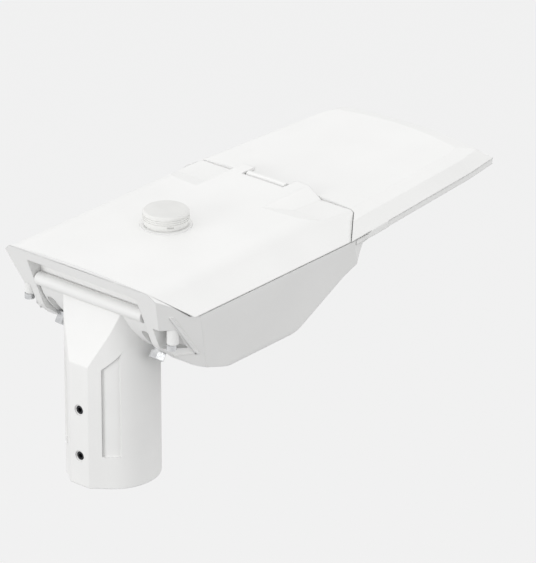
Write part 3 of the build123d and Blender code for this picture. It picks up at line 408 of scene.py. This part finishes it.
@dataclass
class PoleSpigot(Assembly):
    """The cast tube that stands on the pole, with its set screws.

    Attributes:
        tube_radius: Outer radius of the tube.
        infill_proud: How far the infill stands out of the tube.
        relief_floor: Radius of the relief's floor.
        relief_low: Foot of the relief.
        relief_high: Top of the relief, where it is level.
        relief_front_x: X where the relief ends in front.
        relief_rear_x: X where the infill ends, and the relief that the eye sees begins.
        slope_x: X where the relief's top begins to fall.
        slope_low: Height that the top has fallen to at the rear.
        saddle_inner: Radius of the saddle's inside, which the drum turns in.
        saddle_clearance: Gap that the infill leaves under it.
        infill_steps: Flats along the infill.
    """

    title: str = "pole spigot"
    finishes: dict[str, Finish] = field(default_factory=lambda: {
        "spigot": SPIGOT_COAT,
        # The set screws take the near black finish, which is painted shade for the shadow round them in
        # their holes.
        "pole_set_screws": BLACK_OXIDE,
    })
    tube_radius: float = 0.0427
    infill_proud: float = 0.00015
    relief_floor: float = 0.0411
    relief_low: float = 0.0298
    relief_high: float = 0.1372
    relief_front_x: float = 0.0155
    relief_rear_x: float = -0.027
    slope_x: float = -0.022
    slope_low: float = 0.1295
    saddle_inner: float = 0.0667
    saddle_clearance: float = 0.0005
    infill_steps: int = 30

    def infill_top(self, x: float) -> float:
        """Find the height of the infill's top.

        Args:
            x: X of its outer face.

        Returns:
            The relief's own top, or just under the saddle's inside where that is lower.
        """
        share = max(0.0, (self.slope_x - x) / (self.slope_x - self.relief_rear_x))
        relief_top = self.relief_high - share * (self.relief_high - self.slope_low)
        drop = math.sqrt(max(0.0, self.saddle_inner ** 2 - (PIVOT_X - x) ** 2))
        return min(relief_top, PIVOT_Z - drop - self.saddle_clearance)

    def relief_infills(self) -> bpy.types.Object:
        """Close the wide part of the spigot's relief, which leaves the narrow one that the eye sees.

        Returns:
            The piece.
        """
        outer = self.tube_radius + self.infill_proud
        first = math.acos(self.relief_front_x / outer)
        last = math.acos(self.relief_rear_x / outer)
        shape = bmesh.new()
        for side in SIDES:
            add_arc_wall(shape, (self.relief_floor, outer), (self.relief_low, self.relief_high), Vector(),
                         side * first, side * (last - first), self.infill_steps)
        middle_z = (self.relief_low + self.relief_high) / 2
        for vert in shape.verts:
            if vert.co.z > middle_z:
                vert.co.z = self.infill_top(outer * vert.co.x / vert.co.xy.length)
        piece = transfer(shape, "relief_infills", INFILL_COAT, "spigot")
        smooth(piece)
        return piece

    def model(self) -> list[bpy.types.Object]:
        """Model the spigot's infills."""
        return [self.relief_infills()]


@dataclass
class CastHousing(Assembly):
    """Hull and head in one casting, with the fasteners and the gland that it carries.

    An outline on the bevelled rear corner is given as distances from the centre plane and heights.

    Attributes:
        bolt_angle: Degrees from +X to the clamp bolts, seen along the tilt axis.
        bolt_y: Distance of a bolt from the centre plane.
        head_seat: Distance from the tilt axis to the underside of a head.
        head_height: Height of a head.
        head_flats: Size of a head across its flats.
        head_bevel: Bevel round the top of a head.
        bolt_radius: Radius of a shank.
        bolt_length: Length of a shank under its head.
        bolt_tip: Bevel at the tip of a shank.
        bolt_bite: How far a shank runs up into its head, so that the two are joined.
        corner_origin: X, distance from the centre plane and height of a point on the bevelled corner.
        corner_lean: Change of X for a step up.
        corner_slope: Change of X for a step outwards.
        web_proud: How far the webs stand out of the corner.
        gusset: Outline of the lower web.
        gusset_depth: Its depth.
        web: Outline of the upper web, which closes the pocket's outer end.
        web_depth: Its depth.
        rib_proud: How far the ribs stand out of the corner.
        rib_root: How far they reach into it.
        rib_upright: Outline of the rib's upright.
        rib_foot: Outline of its foot.
    """

    title: str = "housing"
    finishes: dict[str, Finish] = field(default_factory=lambda: {
        "housing": POWDER_COAT,
        "clamp_bolts": STEEL,
        "clamp_washers": STEEL,
        "hinge_pin": STEEL,
        "lid_screws": STEEL,
        "lid_gasket": SILICONE,
        "cable_gland": DARK_POLYAMIDE,
        "gland_nut": DARK_POLYAMIDE,
        "supply_leads": LEAD_JACKET,
        "board_leads": LEAD_JACKET,
    })
    bolt_angle: float = 234.5
    bolt_y: float = 0.056
    head_seat: float = 0.0756
    head_height: float = 0.007
    head_flats: float = 0.013
    head_bevel: float = 0.0009
    bolt_radius: float = 0.004
    bolt_length: float = 0.0244
    bolt_tip: float = 0.0006
    bolt_bite: float = 0.001
    corner_origin: tuple[float, float, float] = (-0.0553, 0.060, 0.178)
    corner_lean: float = -0.686
    corner_slope: float = 60 / 55
    web_proud: float = 0.00012
    gusset: tuple[tuple[float, float], ...] = (
        (0.084, 0.130), (0.0942, 0.130), (0.0972, 0.142), (0.084, 0.142))
    gusset_depth: float = 0.005
    web: tuple[tuple[float, float], ...] = (
        (0.0897, 0.1455), (0.0962, 0.1455), (0.0962, 0.1685), (0.0897, 0.1685))
    web_depth: float = 0.009
    rib_proud: float = 0.0014
    rib_root: float = 0.0008
    rib_upright: tuple[tuple[float, float], ...] = (
        (0.0908, 0.1832), (0.0930, 0.1832), (0.0944, 0.1378), (0.0922, 0.1378))
    rib_foot: tuple[tuple[float, float], ...] = (
        (0.0932, 0.1400), (0.0932, 0.1378), (0.0790, 0.1362), (0.0790, 0.1380))

    def add_head(self, shape: bmesh.types.BMesh, foot: Vector, outward: Vector) -> None:
        """Add one hexagon head with a bevelled top.

        Args:
            shape: The shape that grows.
            foot: Centre of the head's underside.
            outward: Direction of the bolt.
        """
        corner = self.head_flats / math.sqrt(3)
        place = standing(foot + outward * self.head_height / 2, outward)
        made = bmesh.ops.create_cone(shape, cap_ends=True, segments=HEXAGON, radius1=corner, radius2=corner,
                                     depth=self.head_height, matrix=place)["verts"]
        top = {vert for vert in made if (vert.co - foot).dot(outward) > self.head_height / 2}
        rim = [edge for edge in shape.edges if top.issuperset(edge.verts)]
        bmesh.ops.bevel(shape, geom=rim, offset=self.head_bevel, segments=BEVEL_SEGMENTS, profile=0.5,
                        affect="EDGES", material=-1)

    def clamp_bolts(self) -> bpy.types.Object:
        """Make the two clamp bolts with bevelled hexagon heads.

        Returns:
            The piece.
        """
        turn = math.radians(self.bolt_angle)
        outward = Vector((math.cos(turn), 0.0, math.sin(turn)))
        end = self.bolt_length + self.bolt_bite
        shank = [(0.0, 0.0), (self.bolt_radius - self.bolt_tip, 0.0), (self.bolt_radius, self.bolt_tip),
                 (self.bolt_radius, end), (0.0, end)]
        shape = bmesh.new()
        for side in SIDES:
            foot = Vector((PIVOT_X, side * self.bolt_y, PIVOT_Z)) + outward * self.head_seat
            self.add_head(shape, foot, outward)
            add_turned(shape, shank, foot - outward * self.bolt_length, outward)
        return transfer(shape, "clamp_bolts_dressed", STEEL, "housing", ("clamp_bolts",))

    def corner_x(self, y: float, z: float) -> float:
        """Find X of the hull's bevelled rear corner.

        Args:
            y: Distance from the centre plane.
            z: Height.

        Returns:
            X of the surface.
        """
        origin_x, origin_y, origin_z = self.corner_origin
        return origin_x + self.corner_lean * (z - origin_z) + self.corner_slope * (y - origin_y)

    def on_corners(self, name: str, finish: Finish, proud: float,
                   outlines: dict[tuple[tuple[float, float], ...], float]) -> bpy.types.Object:
        """Make prisms that stand on both bevelled rear corners.

        Args:
            name: The piece's name.
            finish: Its surface.
            proud: How far it stands out of the corner.
            outlines: Outline to depth.

        Returns:
            The piece.
        """
        shape = bmesh.new()
        for side in SIDES:
            for outline, depth in outlines.items():
                corners = [Vector((self.corner_x(y, z) - proud, side * y, z)) for y, z in outline]
                add_prism(shape, corners, Vector((depth, 0.0, 0.0)))
        return transfer(shape, name, finish, "housing")

    def corner_webs(self) -> bpy.types.Object:
        """Thicken the casting inside its rear corners and close the outer end of each pocket."""
        return self.on_corners("corner_webs", INFILL_COAT, self.web_proud,
                               {self.gusset: self.gusset_depth, self.web: self.web_depth})

    def corner_ribs(self) -> bpy.types.Object:
        """Raise the bent rib that frames each pocket on the hull's bevelled rear corner."""
        depth = self.rib_proud + self.rib_root
        return self.on_corners("corner_ribs", POWDER_COAT, self.rib_proud,
                               {self.rib_upright: depth, self.rib_foot: depth})

    def model(self) -> list[bpy.types.Object]:
        """Model the bolts and what the rear corners carry."""
        return [self.clamp_bolts(), self.corner_webs(), self.corner_ribs()]


@dataclass
class LightEngine(Assembly):
    """Board, emitters and lenses behind the framed glass.

    Attributes:
        lens_radius: Radius of a dome at its foot.
        lens_height: Height of a dome.
        lens_rings: Steps from a dome's foot to its top.
        sheet: Thickness of the moulded sheet that carries the domes.
        sheet_gap: Gap that the sheet leaves to the board.
        sheet_bevel: Bevel of the sheet's edges.
        dome_root: How far a dome reaches into the sheet.
        columns: Emitters along the board.
        column_pitch: Distance between them.
        rows: Emitters across the board.
        row_pitch: Distance between them.
    """

    title: str = "light engine"
    finishes: dict[str, Finish] = field(default_factory=lambda: {
        "led_board": SOLDER_MASK,
        "led_emitters": PHOSPHOR,
        "lens_plate_rear": ACRYLIC,
        "lens_plate_front": ACRYLIC,
        "board_screws": STEEL,
        "glass_cover": GLASS,
        "glass_gasket": SILICONE,
        "glass_frame": POWDER_COAT,
        "frame_screws": STEEL,
    })
    lens_radius: float = 0.0055
    lens_height: float = 0.004
    lens_rings: int = 6
    sheet: float = 0.0024
    sheet_gap: float = 0.00005
    sheet_bevel: float = 0.0004
    dome_root: float = 0.00002
    columns: int = 6
    column_pitch: float = 0.024
    rows: int = 4
    row_pitch: float = 0.032

    def dome(self) -> list[tuple[float, float]]:
        """Draw the profile of a dome.

        Returns:
            Radius and height of each corner, from the axis at its foot to the axis at its top.
        """
        quarter = [math.pi / 2 * step / self.lens_rings for step in range(self.lens_rings)]
        curve = [(self.lens_radius * math.cos(turn), self.lens_height * math.sin(turn)) for turn in quarter]
        return [(0.0, 0.0), *curve, (0.0, self.lens_height)]

    def lens_plate(self, end: str) -> bpy.types.Object:
        """Make one moulded lens plate with a smooth dome under each emitter.

        Args:
            end: Rear or front.

        Returns:
            The piece.
        """
        node = f"lens_plate_{end}"
        low, high = (Vector(corner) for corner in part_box(node))
        low.z = high.z - self.sheet
        size = high - low - self.sheet_gap * UPRIGHT
        shape = bmesh.new()
        bmesh.ops.create_cube(shape, size=1.0,
                              matrix=Matrix.Translation(low + size / 2) @ Matrix.Diagonal((*size, 1.0)))
        bmesh.ops.bevel(shape, geom=list(shape.edges), offset=self.sheet_bevel, segments=BEVEL_SEGMENTS,
                        profile=0.5, affect="EDGES", material=-1)
        board_low, board_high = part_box("led_board")
        middle = (board_low[0] + board_high[0]) / 2
        for column in range(self.columns):
            x = middle + (column - (self.columns - 1) / 2) * self.column_pitch
            for row in range(self.rows):
                y = (row - (self.rows - 1) / 2) * self.row_pitch
                if low.x < x < high.x:
                    add_turned(shape, self.dome(), Vector((x, y, low.z + self.dome_root)), -UPRIGHT)
        piece = transfer(shape, f"{node}_domed", ACRYLIC, "housing", (node,))
        smooth(piece)
        return piece

    def model(self) -> list[bpy.types.Object]:
        """Model both lens plates."""
        return [self.lens_plate(end) for end in ("rear", "front")]


@dataclass
class ControlGear(Assembly):
    """The tray in the compartment with the driver and the connections.

    Attributes:
        poles: Terminals in the block.
        first_pole: Distance from the block's side to the first terminal.
        pole_pitch: Distance between terminals.
        well_inset: Distance from the block's end to the middle of a well.
        well_floor: Height of a well's floor in the block.
        screw_radius: Radius of a screw's head.
        screw_layer: Height of the head under its slot.
        slot_depth: Depth of the slot.
        slot_angle: Angle from the slot's middle line to its side, at the head's rim, in radians.
        half_steps: Flats round each half of the head.
    """

    title: str = "control gear"
    finishes: dict[str, Finish] = field(default_factory=lambda: {
        "gear_tray": ZINC,
        "tray_screws": STEEL,
        "driver": WHITE_PLASTIC,
        "surge_protector": BLUE_PLASTIC,
        "terminal_block": POLYAMIDE,
    })
    poles: int = 3
    first_pole: float = 0.005
    pole_pitch: float = 0.010
    well_inset: float = 0.006
    well_floor: float = 0.011
    screw_radius: float = 0.0023
    screw_layer: float = 0.0008
    slot_depth: float = 0.001
    slot_angle: float = 0.16
    half_steps: int = 12

    def add_screw(self, shape: bmesh.types.BMesh, foot: Vector) -> None:
        """Add one slotted screw head: a disc, and a half disc on each side of the slot.

        Args:
            shape: The shape that grows.
            foot: Centre of its underside.
        """
        disc = [(0.0, 0.0), (self.screw_radius, 0.0), (self.screw_radius, self.screw_layer),
                (0.0, self.screw_layer)]
        add_turned(shape, disc, foot, UPRIGHT)
        slot_floor = foot + self.screw_layer * UPRIGHT
        sweep = math.pi - 2 * self.slot_angle
        for start in (self.slot_angle, math.pi + self.slot_angle):
            turns = [start + sweep * step / self.half_steps for step in range(self.half_steps + 1)]
            outline = [slot_floor + self.screw_radius * Vector((math.cos(turn), math.sin(turn), 0.0))
                       for turn in turns]
            add_prism(shape, outline, self.slot_depth * UPRIGHT)

    def terminal_screws(self) -> bpy.types.Object:
        """Make the slotted clamping screws in the terminal block's wells.

        Returns:
            The piece.
        """
        low = Vector(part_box("terminal_block")[0])
        shape = bmesh.new()
        for pole in range(self.poles):
            across = self.first_pole + self.pole_pitch * pole
            self.add_screw(shape, low + Vector((self.well_inset, across, self.well_floor)))
        return transfer(shape, "terminal_screws", ZINC, "housing")

    def model(self) -> list[bpy.types.Object]:
        """Model the terminal block's screws."""
        return [self.terminal_screws()]


@dataclass
class LidGroup(Assembly):
    """The hinged lid with its control socket and the twist-off cap.

    Attributes:
        well_depth: Depth of the socket's well.
        contacts: Number of spring contacts.
        contact_radii: Inner and outer radius of a contact.
        contact_height: Height of a contact.
        contact_sweep: How far a contact runs round the well, in radians.
        contact_steps: Flats along a contact.
    """

    title: str = "lid"
    finishes: dict[str, Finish] = field(default_factory=lambda: {
        "lid": POWDER_COAT,
        "socket": CAP_PLASTIC,
        "socket_gasket": PALE_SILICONE,
        "socket_nut": POLYAMIDE,
        "cap": CAP_PLASTIC,
        "cap_seal": SILICONE,
    })
    well_depth: float = 0.0109
    contacts: int = 4
    contact_radii: tuple[float, float] = (0.0084, 0.0092)
    contact_height: float = 0.006
    contact_sweep: float = 0.84
    contact_steps: int = 10

    def socket_contacts(self) -> bpy.types.Object:
        """Make the curved spring contacts that stand in the control socket's well.

        Returns:
            The piece.
        """
        low, high = (Vector(corner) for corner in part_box("socket"))
        middle = (low + high) / 2
        middle.z = 0.0
        floor_z = high.z - self.well_depth
        shape = bmesh.new()
        for place in range(self.contacts):
            turn = math.tau * (place + 0.5) / self.contacts
            add_arc_wall(shape, self.contact_radii, (floor_z, floor_z + self.contact_height), middle,
                         turn - self.contact_sweep / 2, self.contact_sweep, self.contact_steps)
        return transfer(shape, "socket_contacts", ZINC, "lid")

    def model(self) -> list[bpy.types.Object]:
        """Model the socket's contacts."""
        return [self.socket_contacts()]


@dataclass(frozen=True)
class Lamp:
    """A soft square lamp aimed at the object.

    Attributes:
        name: What a photographer calls it.
        place: Where it stands, in metres.
        size: Side of its square, in metres.
        power: Its power in watts.
    """

    name: str
    place: tuple[float, float, float]
    size: float
    power: float

    def light(self, target: Vector) -> None:
        """Stand the lamp in the scene.

        Args:
            target: The point it is aimed at.
        """
        data = bpy.data.lights.new(self.name, "AREA")
        data.shape = "SQUARE"
        data.size = self.size
        data.energy = self.power
        lamp = bpy.data.objects.new(self.name, data)
        bpy.context.scene.collection.objects.link(lamp)
        lamp.location = self.place
        lamp.rotation_euler = (target - Vector(self.place)).to_track_quat("-Z", "Y").to_euler()


@dataclass
class Studio:
    """Floor, daylight, lamps and camera.

    Attributes:
        azimuth: Degrees that the camera's line turns from +Y, towards -X where positive.
        elevation: Degrees that the camera looks down.
        camera_place: The camera's place in metres.
        lens: Focal length in millimetres.
        sensor: Width of the sensor in millimetres.
        view_end: How far the camera sees, in metres.
        aim: The point that the lamps are aimed at, in metres.
        floor_reach: Half the side of the floor, in metres.
        floor_z: Height of the floor in metres.
        floor_colour: sRGB hex of the backdrop as the camera and reflections see it.
        paper_colour: sRGB hex of the paper that takes the shadow.
        bounce_colour: sRGB hex of the paper as it lights the object from below.
        glow_share: How much of the backdrop's brightness is its own.
        daylight: Strength of the even light from all round.
        lamps: The soft lamps.
    """

    azimuth: float = -49.61
    elevation: float = 24.37
    camera_place: tuple[float, float, float] = (-2.918, -2.663, 1.971)
    lens: float = 315.6
    sensor: float = 36.0
    view_end: float = 100.0
    aim: tuple[float, float, float] = (0.15, 0.0, 0.15)
    floor_reach: float = 30.0
    floor_z: float = -0.9
    floor_colour: str = "F1F1F1"
    paper_colour: str = "F1F1F1"
    bounce_colour: str = "A4A4A4"
    glow_share: float = 0.92
    daylight: float = 0.88
    lamps: tuple[Lamp, ...] = (
        Lamp("left_softbox", (-3.4, 0.9, 0.7), 1.6, 42.0),
        Lamp("right_softbox", (0.6, -3.4, 0.5), 1.6, 16.0),
        Lamp("overhead_softbox", (0.4, 0.2, 3.4), 3.0, 14.0),
    )

    def build(self) -> None:
        """Make the whole studio."""
        self.floor()
        self.world()
        for lamp in self.lamps:
            lamp.light(Vector(self.aim))
        self.camera()
        bpy.context.scene.view_settings.view_transform = "Standard"

    def floor(self) -> None:
        """Lay a wide plain floor that shows the backdrop's colour and keeps the shadow."""
        shape = bmesh.new()
        bmesh.ops.create_grid(shape, x_segments=1, y_segments=1, size=self.floor_reach)
        bmesh.ops.translate(shape, verts=shape.verts, vec=(0.0, 0.0, self.floor_z))
        mesh = bpy.data.meshes.new("floor")
        shape.to_mesh(mesh)
        shape.free()
        mesh.materials.append(self.backdrop())
        floor = bpy.data.objects.new("floor", mesh)
        bpy.context.scene.collection.objects.link(floor)

    def backdrop(self) -> bpy.types.Material:
        """Make the floor's paper, which looks pale and yet throws little light up at the object.

        Returns:
            The material.
        """
        made = bpy.data.materials.new("matt backdrop paper")
        made.use_nodes = True
        nodes = made.node_tree.nodes
        nodes.remove(nodes["Principled BSDF"])
        path = add_node(made, Node.LIGHT_PATH).outputs
        paper = add_node(made, Node.DIFFUSE, feeds={"Color": linear(self.paper_colour)})
        dim = add_node(made, Node.DIFFUSE, feeds={"Color": linear(self.bounce_colour)})
        glow = add_node(made, Node.EMISSION, feeds={"Color": linear(self.floor_colour), "Strength": 1.0})
        seen = add_node(made, Node.MIX_SHADER, feeds={
            0: self.glow_share, 1: paper.outputs["BSDF"], 2: glow.outputs["Emission"]})
        mirrored = add_node(made, Node.MATHS, {"operation": "MAXIMUM"}, {
            0: path["Is Glossy Ray"], 1: path["Is Transmission Ray"]})
        bright = add_node(made, Node.MATHS, {"operation": "MAXIMUM"}, {
            0: path["Is Camera Ray"], 1: mirrored.outputs["Value"]})
        blend = add_node(made, Node.MIX_SHADER, feeds={
            0: bright.outputs["Value"], 1: dim.outputs["BSDF"], 2: seen.outputs["Shader"]})
        connect(made, nodes["Material Output"], {"Surface": blend.outputs["Shader"]})
        return made

    def world(self) -> None:
        """Fill the room with even daylight."""
        world = bpy.data.worlds.new("studio_daylight")
        world.use_nodes = True
        connect(world, world.node_tree.nodes["Background"],
                {"Color": linear("FFFFFF"), "Strength": self.daylight})
        bpy.context.scene.world = world

    def camera(self) -> None:
        """Stand the camera where the photograph was taken from."""
        turn = math.radians(self.azimuth)
        tilt = math.radians(self.elevation)
        right = Vector((math.cos(turn), math.sin(turn), 0.0))
        ahead = Vector((-math.sin(turn), math.cos(turn), 0.0))
        back = Vector((-ahead.x * math.cos(tilt), -ahead.y * math.cos(tilt), math.sin(tilt)))
        up = back.cross(right)
        data = bpy.data.cameras.new("camera")
        data.lens = self.lens
        data.sensor_width = self.sensor
        data.clip_end = self.view_end
        camera = bpy.data.objects.new("camera", data)
        camera.matrix_world = Matrix((
            (right.x, up.x, back.x, self.camera_place[0]),
            (right.y, up.y, back.y, self.camera_place[1]),
            (right.z, up.z, back.z, self.camera_place[2]),
            (0.0, 0.0, 0.0, 1.0)))
        bpy.context.scene.collection.objects.link(camera)
        bpy.context.scene.camera = camera


def main() -> None:
    """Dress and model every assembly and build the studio."""
    logging.basicConfig(level=logging.INFO, format="%(message)s")
    for assembly in (PoleSpigot(), CastHousing(), LightEngine(), ControlGear(), LidGroup()):
        assembly.dress()
        for piece in assembly.model():
            LOG.info("%s: modelled %s", assembly.title, piece.name)
    Studio().build()


if __name__ == "__main__":
    main()
